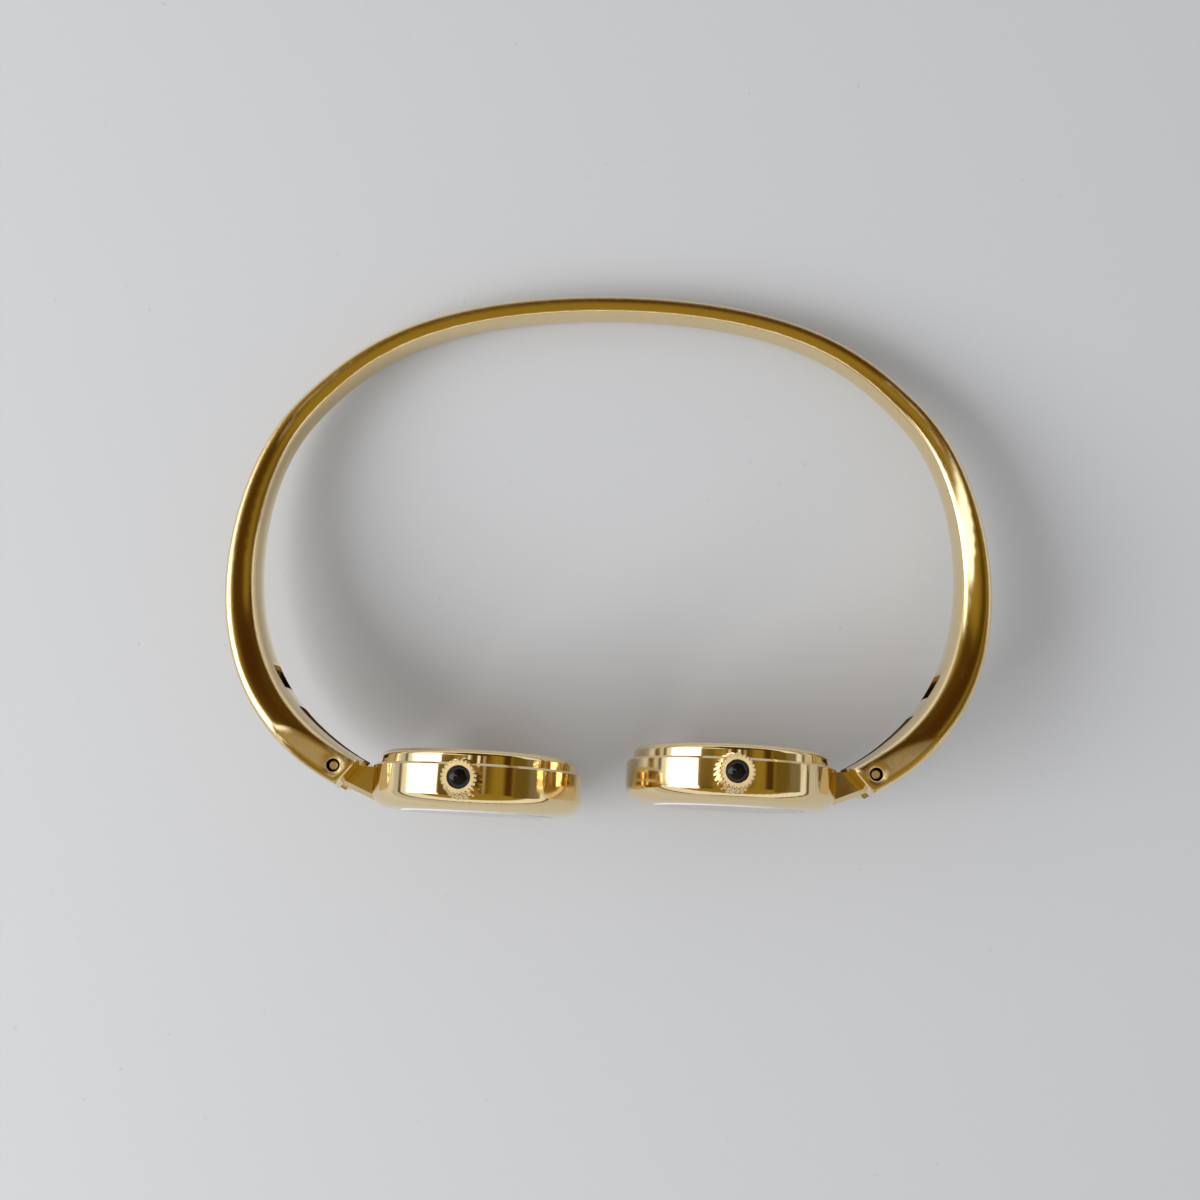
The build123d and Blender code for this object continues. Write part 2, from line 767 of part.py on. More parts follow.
def make_minute_wheel(head):
    """Wheel and pinion of the motion work, on their post."""
    with BuildPart() as minute:
        add_wheel(head, minute_place, motion_module, minute_wheel_teeth,
                  gap_facing(minute_wheel_teeth, minute_direction + 180),
                  minute_wheel_back, minute_wheel_front)
        add_wheel(head, minute_place, motion_module, minute_pinion_teeth,
                  minute_direction + 180, minute_wheel_front, hour_wheel_front)
        add_post(head, minute_place, post_radius + jewel_clearance, minute_wheel_back,
                 hour_wheel_front, Mode.SUBTRACT)
    return minute


def make_hour_wheel(head):
    """Wheel and tube that carry the hour hand."""
    with BuildPart() as hour:
        add_wheel(head, (0, 0), motion_module, hour_wheel_teeth,
                  gap_facing(hour_wheel_teeth, minute_direction),
                  hour_wheel_back, hour_wheel_front)
        add_post(head, (0, 0), hour_tube_radius, hour_wheel_front, hour_hand_front)
        add_post(head, (0, 0), cannon_tube_radius + tube_running_clearance,
                 hour_wheel_back, hour_hand_front, Mode.SUBTRACT)
    return hour


def make_train_wheel(head):
    """Wheel and pinion between the rotor and the centre wheel."""
    with BuildPart() as train:
        add_wheel(head, train_place, train_module, train_teeth,
                  gap_facing(train_teeth, rotor_direction), train_wheel_back,
                  train_wheel_front)
        add_wheel(head, train_place, centre_module, train_pinion_teeth,
                  gap_facing(train_pinion_teeth, train_wheel_direction + 180),
                  train_wheel_front, centre_wheel_front)
        add_post(head, train_place, pivot_radius, bridge_back, train_wheel_back)
        add_post(head, train_place, pivot_radius, centre_wheel_front, plate_front)
    return train


def make_rotor(head):
    """Magnet and pinion of the stepping motor."""
    with BuildPart() as rotor:
        add_post(head, rotor_place, rotor_radius, rotor_back, rotor_front)
        add_wheel(head, rotor_place, train_module, rotor_pinion_teeth,
                  rotor_direction + 180, train_wheel_back, rotor_back)
        add_post(head, rotor_place, pivot_radius, bridge_back, train_wheel_back)
        add_post(head, rotor_place, pivot_radius, rotor_front, plate_front)
    return rotor


def make_stator(head):
    """Two soft iron legs round the rotor, and the core that passes through the coil."""
    hole = rotor_radius + stator_gap
    with BuildPart() as stator:
        with BuildSketch(head.face(stator_back)):
            with Locations(rotor_place):
                Circle(hole + stator_ring_width)
            for tab, s in zip(tab_places, (-1, 1)):
                near = rotor_place[0] + s * hole
                Polygon((near - stator_leg_width / 2, rotor_place[1]),
                        (near + stator_leg_width / 2, rotor_place[1]),
                        (tab[0] + stator_leg_width / 2, tab[1]),
                        (tab[0] - stator_leg_width / 2, tab[1]), align=None)
            with Locations(rotor_place):
                Circle(hole, mode=Mode.SUBTRACT)
        extrude(amount=stator_thickness)
        with BuildSketch(head.face(coil_level - core_half_width)):
            with Locations(*tab_places):
                Rectangle(stator_leg_width, stator_leg_width)
        extrude(amount=plate_back - coil_level + core_half_width)
        with BuildSketch(head.face(coil_level - core_half_width)):
            with Locations(coil_place):
                Rectangle(2 * tab_distance, 2 * core_half_width)
        extrude(amount=2 * core_half_width)
    return stator


def make_coil(head):
    """Winding on its bobbin, round the core."""
    start = head.centre + head.front * coil_level + head.right * (
        coil_place[0] - coil_length / 2) + Vector(0, 0, coil_place[1])
    end_plane = Plane(origin=start, z_dir=head.right)
    with BuildPart() as coil:
        with BuildSketch(end_plane):
            Circle(coil_radius)
        extrude(amount=coil_length)
        for height in (0, coil_length - coil_flange_thickness):
            with BuildSketch(end_plane.offset(height)):
                Circle(coil_flange_radius)
            extrude(amount=coil_flange_thickness)
        with BuildSketch(end_plane):
            Circle(coil_bore_radius)
        extrude(amount=coil_length, mode=Mode.SUBTRACT)
    return coil


def make_circuit_board(head):
    """Board with its chip and quartz can."""
    x, y = board_place
    can_x = x + board_width / 2 - quartz_inset
    can_start = (head.centre + head.front * (board_back - quartz_radius) + head.right * can_x
                 + Vector(0, 0, y - quartz_length / 2))
    with BuildPart() as board:
        with BuildSketch(head.face(board_back)):
            with Locations(board_place):
                Rectangle(board_width, board_length)
        extrude(amount=board_thickness)
        with BuildSketch(head.face(board_back - chip_height)):
            with Locations((x - board_width / 2 + chip_size, y)):
                Rectangle(chip_size, chip_size)
        extrude(amount=chip_height)
        with BuildSketch(Plane(origin=can_start, x_dir=head.right, z_dir=(0, 0, 1))):
            Circle(quartz_radius)
        extrude(amount=quartz_length)
        with BuildSketch(head.face(board_back - quartz_radius)):
            with Locations((can_x, y)):
                Rectangle(quartz_radius, quartz_length)
        extrude(amount=quartz_radius)
    return board


def make_battery(head):
    """Button cell with its smaller cap towards the dial."""
    with BuildPart() as battery:
        add_post(head, battery_place, battery_radius, battery_back,
                 battery_front - battery_step)
        add_post(head, battery_place, battery_radius * battery_cap_share,
                 battery_front - battery_step, battery_front)
    return battery


def make_battery_strap(head):
    """Sprung strap across the cell, with a foot at each end."""
    x, y = battery_place
    with BuildPart() as strap:
        with BuildSketch(head.face(strap_back)):
            with Locations(battery_place):
                Rectangle(strap_width, 2 * strap_foot_distance + strap_foot)
        extrude(amount=strap_thickness)
        with BuildSketch(head.face(strap_back)):
            for s in (-1, 1):
                with Locations((x, y + s * strap_foot_distance)):
                    Rectangle(strap_width, strap_foot)
        extrude(amount=plate_back - strap_back)
    return strap


def make_sliding_pinion(head):
    """Toothed sleeve that turns with the stem, which slides through its square hole."""
    module = 2 * sliding_pinion_radius / (sliding_pinion_teeth + 2 * addendum_share)
    side = stem_square + 2 * pinion_slide_clearance
    with BuildPart() as pinion:
        with BuildSketch(head.stem_face(pinion_low)):
            Polygon(*tooth_outline(module, sliding_pinion_teeth), align=None)
            Rectangle(side, side, mode=Mode.SUBTRACT)
        extrude(amount=sliding_pinion_length)
    return pinion


def make_stem(head):
    """Round stem with a square inner end."""
    round_low = pinion_high + pinion_slide_clearance
    with BuildPart() as stem:
        with BuildSketch(head.stem_face(stem_low)):
            Rectangle(stem_square, stem_square)
        extrude(amount=round_low - stem_low)
        with BuildSketch(head.stem_face(round_low)):
            Circle(stem_radius)
        extrude(amount=crown_end - cabochon_seat_depth - stem_head_cover - round_low)
    return stem


def make_crown_tube(head):
    """Tube pressed into the case wall, which the crown slides over."""
    low = case_bore - tube_inside
    with BuildPart() as tube:
        with BuildSketch(head.stem_face(low)):
            Circle(tube_outer_radius)
            Circle(tube_bore, mode=Mode.SUBTRACT)
        extrude(amount=case_radius + tube_reach - low)
    return tube


def fluted_outline(radius):
    """Corners of the crown's outside, with a flute pressed in between every two ridges."""
    pitch = 360 / crown_flutes
    points = []
    for flute in range(crown_flutes):
        middle = flute * pitch
        points.append(polar(radius, middle - flute_width_share / 2 * pitch))
        points.append(polar(radius - flute_depth, middle))
        points.append(polar(radius, middle + flute_width_share / 2 * pitch))
    return points


def make_crown(head):
    """Fluted crown, wider towards the case, with a seat for the cabochon in its end."""
    steps = ((crown_root, crown_base_radius - crown_edge_round),
             (crown_root + crown_edge_round, crown_base_radius),
             (crown_end - crown_edge_round, crown_end_radius),
             (crown_end, crown_end_radius - crown_edge_round))
    with BuildPart() as crown:
        for height, radius in steps:
            with BuildSketch(head.stem_face(height)):
                Polygon(*fluted_outline(radius), align=None)
        loft(ruled=True)
        with BuildSketch(head.stem_face(crown_root)):
            Circle(crown_bore)
        extrude(amount=crown_cavity_depth, mode=Mode.SUBTRACT)
        with BuildSketch(head.stem_face(crown_root)):
            Circle(stem_radius + press_clearance)
        extrude(amount=crown_height - cabochon_seat_depth - stem_head_cover,
                mode=Mode.SUBTRACT)
        with BuildSketch(head.stem_face(crown_end)):
            Circle(cabochon_radius + cabochon_clearance)
        extrude(amount=-cabochon_seat_depth, mode=Mode.SUBTRACT)
    return crown


def make_cabochon(head):
    """Domed stone set in the end of the crown."""
    seat = crown_end - cabochon_seat_depth
    with BuildPart() as cabochon:
        with BuildSketch(head.stem_section):
            with BuildLine():
                Polyline((0, crown_end + cabochon_dome), (0, seat), (cabochon_radius, seat),
                         (cabochon_radius, crown_end))
                TangentArc((0, crown_end + cabochon_dome), (cabochon_radius, crown_end),
                           tangent=(1, 0))
            make_face()
        revolve(axis=head.stem_axis)
    return cabochon


def make_crown_gasket(head):
    """Seal in the crown that slides on the tube."""
    inner = tube_outer_radius + seal_clearance
    with BuildPart() as gasket:
        with BuildSketch(head.stem_face(crown_root + crown_gasket_inset)):
            Circle(inner + crown_gasket_width)
            Circle(inner, mode=Mode.SUBTRACT)
        extrude(amount=crown_gasket_height)
    return gasket


def head_pieces(side, hour_hand_angle):
    """Every piece of one head, by name."""
    head = HeadFrame(side)
    hour_bore = hour_tube_radius + press_clearance
    minute_bore = cannon_tube_radius + press_clearance
    return {
        "case": make_case(head),
        "case_back": make_case_back(head),
        "back_gasket": make_ring(head, spigot_radius + seal_clearance,
                                 back_groove_radius - seal_clearance, back_seat,
                                 back_seat + back_gasket_height),
        "crystal": make_crystal(head),
        "crystal_gasket": make_ring(head, crystal_radius + seal_clearance,
                                    crystal_bore - seal_clearance, crystal_back, bezel_front),
        "dial": make_dial(head),
        "hour_hand": make_hand(head, hour_hand_length, hour_hand_angle, hour_bore,
                               hour_hand_back),
        "minute_hand": make_hand(head, minute_hand_length, minute_hand_angle, minute_bore,
                                 minute_hand_back),
        "movement_holder": make_holder(head),
        "mainplate": make_mainplate(head),
        "train_bridge": make_train_bridge(head),
        "centre_wheel": make_centre_wheel(head),
        "cannon_pinion": make_cannon_pinion(head),
        "minute_wheel": make_minute_wheel(head),
        "hour_wheel": make_hour_wheel(head),
        "train_wheel": make_train_wheel(head),
        "rotor": make_rotor(head),
        "stator": make_stator(head),
        "coil": make_coil(head),
        "circuit_board": make_circuit_board(head),
        "battery": make_battery(head),
        "battery_strap": make_battery_strap(head),
        "sliding_pinion": make_sliding_pinion(head),
        "crown_stem": make_stem(head),
        "crown_tube": make_crown_tube(head),
        "crown": make_crown(head),
        "crown_gasket": make_crown_gasket(head),
        "crown_cabochon": make_cabochon(head),
    }


os.makedirs("parts", exist_ok=True)
write(make_band(), "band")
write(make_hinge_pins(), "hinge_pins")
write(make_leaf_spring(-1), "left_leaf_spring")
write(make_leaf_spring(1), "right_leaf_spring")
for side_name, side, hour_angle in (("left", -1, left_hour_hand_angle),
                                    ("right", 1, right_hour_hand_angle)):
    for piece_name, piece in head_pieces(side, hour_angle).items():
        write(piece, f"{side_name}_{piece_name}")
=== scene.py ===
"""Finishes, stage, light and camera for a sprung bangle with a watch head hinged at each end."""

from math import cos, pi, radians, sin

import bmesh
import bpy
from bpy.props import FloatProperty, FloatVectorProperty, PointerProperty
from mathutils import Matrix, Vector


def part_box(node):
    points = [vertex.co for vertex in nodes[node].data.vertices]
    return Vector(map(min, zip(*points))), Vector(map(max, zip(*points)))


bl_info = {
    "name": "Bangle Watch",
    "version": (1, 0, 0),
    "blender": (4, 5, 0),
    "location": "View3D > Sidebar > Bangle Watch",
    "description": "Dresses a sprung bangle with two hinged watch heads",
    "category": "Object",
}

# Lengths are in metres. X runs from the left head to the right head, Y to the band's back,
# and Z along the bangle's axis, up to the crowns.
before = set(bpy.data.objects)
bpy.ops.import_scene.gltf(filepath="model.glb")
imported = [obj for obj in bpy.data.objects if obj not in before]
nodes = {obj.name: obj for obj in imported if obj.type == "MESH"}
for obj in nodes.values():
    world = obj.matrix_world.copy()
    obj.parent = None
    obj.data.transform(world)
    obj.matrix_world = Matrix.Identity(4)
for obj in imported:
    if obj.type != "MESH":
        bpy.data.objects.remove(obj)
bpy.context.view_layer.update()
SIDES = ("left", "right")


def dress(names, material):
    """Give CAD nodes one finish."""
    for name in names:
        slots = nodes[name].data.materials
        slots.clear()
        slots.append(material)


def both(*pieces):
    """Names of pieces in both heads."""
    return [f"{side}_{piece}" for side in SIDES for piece in pieces]


def round_face(name):
    """Centre and radius of a round node that faces along Y."""
    low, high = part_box(name)
    return (low + high) / 2, (high.z - low.z) / 2


def hinge_line():
    """Y of the line through both hinge pins."""
    low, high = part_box("hinge_pins")
    return (low.y + high.y) / 2


def rgba(colour, share=1.0):
    """A colour, or a share of its brightness, for a node's socket."""
    return (*(part * share for part in colour), 1.0)


# Node helpers


class Nodes:
    """A node tree and the short calls that wire it."""

    def __init__(self, tree):
        self.tree = tree

    def node(self, kind, inputs=None, **settings):
        """A new node with these settings and inputs."""
        made = self.tree.nodes.new(kind)
        for name, value in settings.items():
            setattr(made, name, value)
        for name, value in (inputs or {}).items():
            self.link(value, made.inputs[name])
        return made

    def link(self, value, socket):
        """Wire a socket to another one, or set it to a plain value."""
        if isinstance(value, bpy.types.NodeSocket):
            self.tree.links.new(value, socket)
        else:
            socket.default_value = value

    def math(self, operation, *values):
        made = self.node("ShaderNodeMath", operation=operation)
        for socket, value in zip(made.inputs, values):
            self.link(value, socket)
        return made.outputs[0]

    def add(self, first, second):
        return self.math("ADD", first, second)

    def minus(self, first, second):
        return self.math("SUBTRACT", first, second)

    def times(self, first, second):
        return self.math("MULTIPLY", first, second)

    def length(self, first, second):
        """Length of a step with these two sides."""
        return self.math("SQRT", self.add(self.times(first, first), self.times(second, second)))

    def spread(self, value, span, out=(0.0, 1.0), **settings):
        """Map a value from one span to another, held at the ends."""
        made = self.node("ShaderNodeMapRange", {"Value": value, "From Min": span[0],
                                                "From Max": span[1], "To Min": out[0],
                                                "To Max": out[1]}, **settings)
        return made.outputs["Result"]

    def blend(self, amount, first, second, data_type="RGBA"):
        """Mix two colours or vectors."""
        made = self.node("ShaderNodeMix", {"Factor": amount, "A": first, "B": second},
                         data_type=data_type)
        return made.outputs["Result"]

    def parts(self, vector):
        """X, Y and Z of a vector."""
        made = self.node("ShaderNodeSeparateXYZ", {"Vector": vector})
        return [made.outputs[axis] for axis in "XYZ"]


# Finishes

# Patterns in the gold: repeats per metre along X, Y and Z, and what each adds to roughness
POLISH_LINES, POLISH_LINE_ROUGHNESS = (900, 900, 9000), 0.015
HANDLING_MARKS, HANDLING_MARK_ROUGHNESS = (2600, 260, 1400), 0.08
# Painted shade in the recesses round the hinge pins: a dark colour there, with a higher roughness
PIN_RADIUS = 0.00038
RECESS_RADIUS = 0.00058
RECESS_PAINTED_SHADE, RECESS_SHADE_ROUGHNESS = (0.02, 0.012, 0.006), 0.45
# The two outer sides of the band show normals averaged over this reach, so that the facets
# of its mesh don't break the reflections. They come in between these two values of the
# normal's Z times the height Z, which leaves out the slots for the springs.
AVERAGING_REACH = 0.0009
AVERAGING_SPAN = (0.0008, 0.0016)

STONE_CLOUD = (0.006, 0.006, 0.007)
CLEAR, GROUND_EDGE = (1.0, 1.0, 1.0), (0.9, 0.88, 0.84)
# The ground edge of a crystal comes in between these shares of its radius
GROUND_EDGE_SPAN = (0.975, 0.985)
RUBBER, RUBBER_DUST = (0.02, 0.02, 0.02), (0.045, 0.043, 0.04)
# Copper winding: painted shade for the gaps between turns, then the wire's own colour on their
# tops
WIRE_GAP_SHADE, WIRE_TOP = (0.5, 0.17, 0.07), (0.85, 0.42, 0.2)

DIAL_INK = (0.02, 0.018, 0.015)
# Marks on a dial: how many, half their width as a share of their spacing, and the shares of
# the dial's radius where they begin and end
MINUTE_MARKS = (60, 0.10, 0.84, 0.88)
HOUR_BARS = (12, 0.05, 0.66, 0.81)


class Finish(Nodes):
    """A node material and the patterns that its look is made of."""

    def __init__(self, name, **sockets):
        self.material = bpy.data.materials.new(name)
        self.material.use_nodes = True
        super().__init__(self.material.node_tree)
        self.shader = self.tree.nodes["Principled BSDF"]
        self.set(**sockets)

    def set(self, **sockets):
        """Set the shader's sockets, named with _ for each space."""
        for socket, value in sockets.items():
            self.link(value, self.shader.inputs[socket.replace("_", " ")])

    def coords(self):
        return self.node("ShaderNodeTexCoord").outputs["Object"]

    def place(self, scale=(1, 1, 1)):
        """Place on the object, stretched."""
        return self.node("ShaderNodeMapping", {"Vector": self.coords(),
                                               "Scale": scale}).outputs[0]

    def face(self, centre):
        """Steps along X and Z from the axis of a head."""
        shifted = self.node("ShaderNodeMapping", {"Vector": self.coords(), "Location": -centre})
        across, _, up = self.parts(shifted.outputs[0])
        return across, up

    def noise(self, vector, scale=1.0, detail=3.0, roughness=0.5):
        made = self.node("ShaderNodeTexNoise", {"Vector": vector, "Scale": scale,
                                                "Detail": detail, "Roughness": roughness})
        return made.outputs["Fac"]

    def bump(self, height, strength, distance, normal=None):
        made = self.node("ShaderNodeBump", {"Height": height, "Strength": strength,
                                            "Distance": distance})
        if normal:
            self.link(normal, made.inputs["Normal"])
        self.set(Normal=made.outputs["Normal"])

    def even_sides(self):
        """Normals averaged on the band's two outer sides, and plain elsewhere."""
        own = self.node("ShaderNodeNewGeometry").outputs["Normal"]
        even = self.node("ShaderNodeBevel", {"Radius": AVERAGING_REACH}, samples=8)
        outward = self.times(self.parts(own)[2], self.parts(self.coords())[2])
        return self.blend(self.spread(outward, AVERAGING_SPAN), own, even.outputs["Normal"],
                          data_type="VECTOR")


def polished_gold(settings, name="polished_gold", recess=None):
    """Mirror gold with fine polishing lines, faint haze and small handling marks.

    recess is the place and radius of the pin recesses in the band, which get a painted shade."""
    gold = Finish(name, Metallic=1.0)
    place = gold.place()
    haze = gold.noise(place, scale=160.0, detail=4.0, roughness=0.6)
    lines = gold.noise(gold.place(POLISH_LINES), detail=5.0, roughness=0.7)
    marks = gold.noise(gold.place(HANDLING_MARKS), detail=2.0, roughness=0.4)
    marks = gold.spread(marks, (0.66, 0.71))
    rough = gold.spread(haze, (0.35, 0.7), (settings.roughness, settings.roughness * 2.2))
    rough = gold.add(rough, gold.times(lines, POLISH_LINE_ROUGHNESS))
    rough = gold.add(rough, gold.times(marks, HANDLING_MARK_ROUGHNESS))
    tone = gold.blend(haze, rgba(settings.colour), rgba(settings.colour, share=0.93))
    normal = None
    if recess:
        (across, along), radius = recess
        x, y, _ = gold.parts(gold.coords())
        beside = gold.minus(gold.math("ABSOLUTE", x), across)
        inside = gold.spread(gold.length(beside, gold.minus(y, along)),
                             (radius * 0.97, radius), (1.0, 0.0))
        # Painted shade: the band is coloured dark within the recesses round the pins
        tone = gold.blend(inside, tone, rgba(RECESS_PAINTED_SHADE))
        rough = gold.math("MAXIMUM", rough, gold.times(inside, RECESS_SHADE_ROUGHNESS))
        normal = gold.even_sides()
    gold.set(Base_Color=tone, Roughness=rough)
    wave = gold.noise(place, scale=240.0, detail=1.0, roughness=0.3)
    height = gold.add(gold.times(wave, 0.8), gold.times(lines, 0.06))
    gold.bump(height, strength=0.05, distance=0.0002, normal=normal)
    return gold.material


def black_stone(settings):
    """Polished black stone with faint clouding under a glossy surface."""
    stone = Finish("black_stone", Roughness=0.02, Specular_IOR_Level=0.36)
    cloud = stone.noise(stone.place(), scale=900.0, detail=4.0, roughness=0.6)
    stone.set(Base_Color=stone.blend(cloud, rgba(settings.colour), rgba(STONE_CLOUD)))
    return stone.material


def crystal_glass(settings, name, centre, radius):
    """Clear glass with the faintest smears and a ground edge."""
    glass = Finish(name, IOR=1.52)
    smears = glass.noise(glass.place((1, 1, 3)), scale=220.0)
    edge = glass.spread(glass.length(*glass.face(centre)),
                        [radius * share for share in GROUND_EDGE_SPAN])
    rough = glass.spread(smears, (0.55, 0.8), (settings.roughness, 0.06))
    glass.set(Roughness=glass.math("MAXIMUM", rough, glass.times(edge, 0.5)),
              Base_Color=glass.blend(edge, rgba(CLEAR), rgba(GROUND_EDGE)),
              Transmission_Weight=glass.spread(edge, (0.0, 1.0), (1.0, 0.15)))
    return glass.material


def dial_enamel(settings, name, centre, radius):
    """Cream dial with rays from its middle, a minute track and twelve hour bars."""
    enamel = Finish(name)
    across, up = enamel.face(centre)
    angle, distance = enamel.math("ARCTAN2", up, across), enamel.length(across, up)
    ring = enamel.node("ShaderNodeCombineXYZ", {"X": angle}).outputs[0]
    rays = enamel.noise(ring, scale=26.0, detail=4.0, roughness=0.7)
    grain = enamel.noise(enamel.place(), scale=3000.0, detail=2.0)
    base = enamel.blend(rays, rgba(settings.colour), rgba(settings.colour, share=0.86))
    marks = 0.0
    for count, half_width, inner, outer in (MINUTE_MARKS, HOUR_BARS):
        apart = enamel.math("PINGPONG", enamel.times(angle, count / (2 * pi)), 0.5)
        stroke = enamel.times(enamel.math("LESS_THAN", apart, half_width),
                              enamel.math("GREATER_THAN", distance, radius * inner))
        stroke = enamel.times(stroke, enamel.math("LESS_THAN", distance, radius * outer))
        marks = enamel.math("MAXIMUM", stroke, marks)
    enamel.set(Base_Color=enamel.blend(marks, base, rgba(DIAL_INK)),
               Roughness=enamel.spread(grain, (0.3, 0.7), (0.28, 0.42)))
    relief = enamel.add(enamel.add(rays, grain), marks)
    enamel.bump(relief, strength=0.05, distance=0.00002)
    return enamel.material


def seal_rubber():
    """Black rubber with a little dust in its grain."""
    rubber = Finish("seal_rubber", Roughness=0.6)
    grain = rubber.noise(rubber.place(), scale=4000.0, detail=2.0)
    rubber.set(Base_Color=rubber.blend(grain, rgba(RUBBER), rgba(RUBBER_DUST)))
    rubber.bump(grain, strength=0.2, distance=0.00002)
    return rubber.material


def metal(name, colour, roughness, stretch=(600, 600, 6000), depth=0.1):
    """A machined metal with brushed lines."""
    made = Finish(name, Metallic=1.0)
    lines = made.noise(made.place(stretch), detail=4.0, roughness=0.65)
    made.set(Base_Color=made.blend(lines, rgba(colour), rgba(colour, share=0.8)),
             Roughness=made.spread(lines, (0.3, 0.7), (roughness, roughness * 1.7)))
    made.bump(lines, strength=depth, distance=0.00003)
    return made.material


def matte(name, colour, roughness):
    """Moulded plastic with a fine grain."""
    made = Finish(name)
    grain = made.noise(made.place(), scale=2500.0)
    made.set(Base_Color=made.blend(grain, rgba(colour), rgba(colour, share=0.82)),
             Roughness=made.spread(grain, (0.3, 0.7), (roughness, roughness * 1.3)))
    made.bump(grain, strength=0.15, distance=0.00002)
    return made.material


def copper_winding():
    """Fine enamelled wire, wound across the coil, with painted shade in the gaps between its
    turns.
    """
    wire = Finish("copper_winding", Metallic=1.0, Roughness=0.3)
    turns = wire.node("ShaderNodeTexWave", {"Vector": wire.place(), "Scale": 9000.0},
                      bands_direction="X").outputs["Fac"]
    # Painted shade: the gaps between turns are coloured darker than the tops
    wire.set(Base_Color=wire.blend(turns, rgba(WIRE_GAP_SHADE), rgba(WIRE_TOP)))
    wire.bump(turns, strength=0.5, distance=0.00003)
    return wire.material


# Stage

# How far behind the hinge line the cases rest on the table, their gap to it, and how far
# up the table from there its middle lies
REST_LINE = 0.00072
REST_CLEARANCE = 0.00002
TABLE_MIDDLE = 0.022
SPECKS = (0.35, 0.34, 0.33)

# The window's lamp, which faces the middle of the wrist opening
WINDOW_PLACE = Vector((-0.38, -0.19, 0.24))
WINDOW_SIZE = (0.36, 0.30)
WINDOW_POWER = 2.0

# The camera's aim: how far it lies behind the hinge line, and how far right of the
# picture's middle and above it that point is seen, as shares of the picture's width
AIM_BEHIND_HINGES = 0.00041
AIM_IN_PICTURE = (4.5 / 1200, -168 / 1200)

# Light that falls on matt surfaces from all round, and the plain colour behind everything
FILL_COLOUR = (0.47, 0.475, 0.485)
BACKDROP_COLOUR = (0.78, 0.785, 0.80)
# The room that only glossy surfaces show: its colour at each Z of the direction, with pale
# walls low down and a warm dark ceiling
ROOM_STOPS = ((0.0, (0.56, 0.565, 0.57)), (0.02, (0.10, 0.07, 0.03)), (0.07, (0.12, 0.08, 0.03)),
              (0.10, (0.86, 0.87, 0.88)), (0.42, (0.92, 0.92, 0.93)), (0.50, (0.305, 0.217, 0.05)),
              (1.0, (0.287, 0.194, 0.025)))
# Patches on that ceiling: colour, middle and half sizes in X and Y where Z is 1, softness of
# the edge, strength, and shift along X for each step along Y
CEILING_PATCHES = (
    ((0.124, 0.081, 0.014), (0.04, 0.30), (0.08, 0.20), 0.20, 0.85, 0.0),
    ((0.072, 0.032, 0.004), (0.14, 0.44), (0.12, 0.32), 0.20, 0.95, 0.0),
    ((0.060, 0.025, 0.004), (0.55, 1.45), (0.95, 0.85), 0.15, 0.9, 0.0),
    ((0.048, 0.0135, 0.003), (0.80, 0.30), (0.06, 0.46), 0.14, 0.9, 0.0),
    ((0.115, 0.077, 0.014), (-0.75, -0.2), (0.26, 0.26), 0.14, 0.9, 0.0),
    ((0.130, 0.088, 0.017), (2.60, -0.1), (1.55, 0.46), 0.16, 0.9, 0.0),
    ((0.41, 0.34, 0.23), (-0.225, 0.06), (0.025, 0.02), 0.012, 1.0, 0.0),
    ((1.10, 1.05, 0.95), (-0.106, 0.06), (0.022, 0.02), 0.012, 1.0, 0.0),
    ((1.10, 1.05, 0.95), (0.086, 0.06), (0.022, 0.02), 0.012, 1.0, 0.0),
    ((0.41, 0.34, 0.23), (0.205, 0.06), (0.027, 0.02), 0.012, 1.0, 0.0),
    ((2.0, 2.0, 1.95), (-0.75, 0.27), (0.47, 0.08), 0.06, 1.0, -1.65),
    ((3.0, 3.0, 2.95), (-2.60, 0.15), (1.75, 0.65), 0.06, 1.0, 0.0),
)
# Directions with a lower Z are placed as if they had this one
LOWEST_Z = 0.02


def add_object(name, data):
    """A new object in the scene."""
    made = bpy.data.objects.new(name, data)
    bpy.context.scene.collection.objects.link(made)
    return made


def make_table(settings):
    """Round pale table top with a faint grain, which rises to the band's back."""
    tilt = settings.floor_tilt
    low = min(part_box(f"{side}_case")[0].z for side in SIDES)
    rest = Vector((0, hinge_line() + REST_LINE, low - REST_CLEARANCE))
    mesh = bpy.data.meshes.new("table_top")
    disc = bmesh.new()
    bmesh.ops.create_circle(disc, cap_ends=True, segments=128, radius=settings.floor_radius)
    disc.to_mesh(mesh)
    disc.free()
    table = add_object("table_top", mesh)
    table.location = rest + Vector((0, TABLE_MIDDLE * cos(tilt), TABLE_MIDDLE * sin(tilt)))
    table.rotation_euler = (tilt, 0, 0)
    top = Finish("table_laminate", Roughness=0.55, Specular_IOR_Level=0.2)
    grain = top.noise(top.place(), scale=1800.0)
    specks = top.spread(top.noise(top.place(), scale=900.0, detail=1.0), (0.78, 0.8))
    colour = top.blend(grain, rgba(settings.floor_colour),
                       rgba(settings.floor_colour, share=0.985))
    top.set(Base_Color=top.blend(top.times(specks, 0.2), colour, rgba(SPECKS)))
    mesh.materials.append(top.material)


def window_lamp():
    """Wide soft lamp that the gold doesn't show, as the room has window patches for it."""
    light = bpy.data.lights.new("window", "AREA")
    light.shape = "RECTANGLE"
    light.size, light.size_y = WINDOW_SIZE
    light.energy = WINDOW_POWER
    lamp = add_object("window", light)
    lamp.visible_glossy = False
    lamp.location = WINDOW_PLACE
    lamp.rotation_euler = (-WINDOW_PLACE).to_track_quat("-Z", "Y").to_euler()


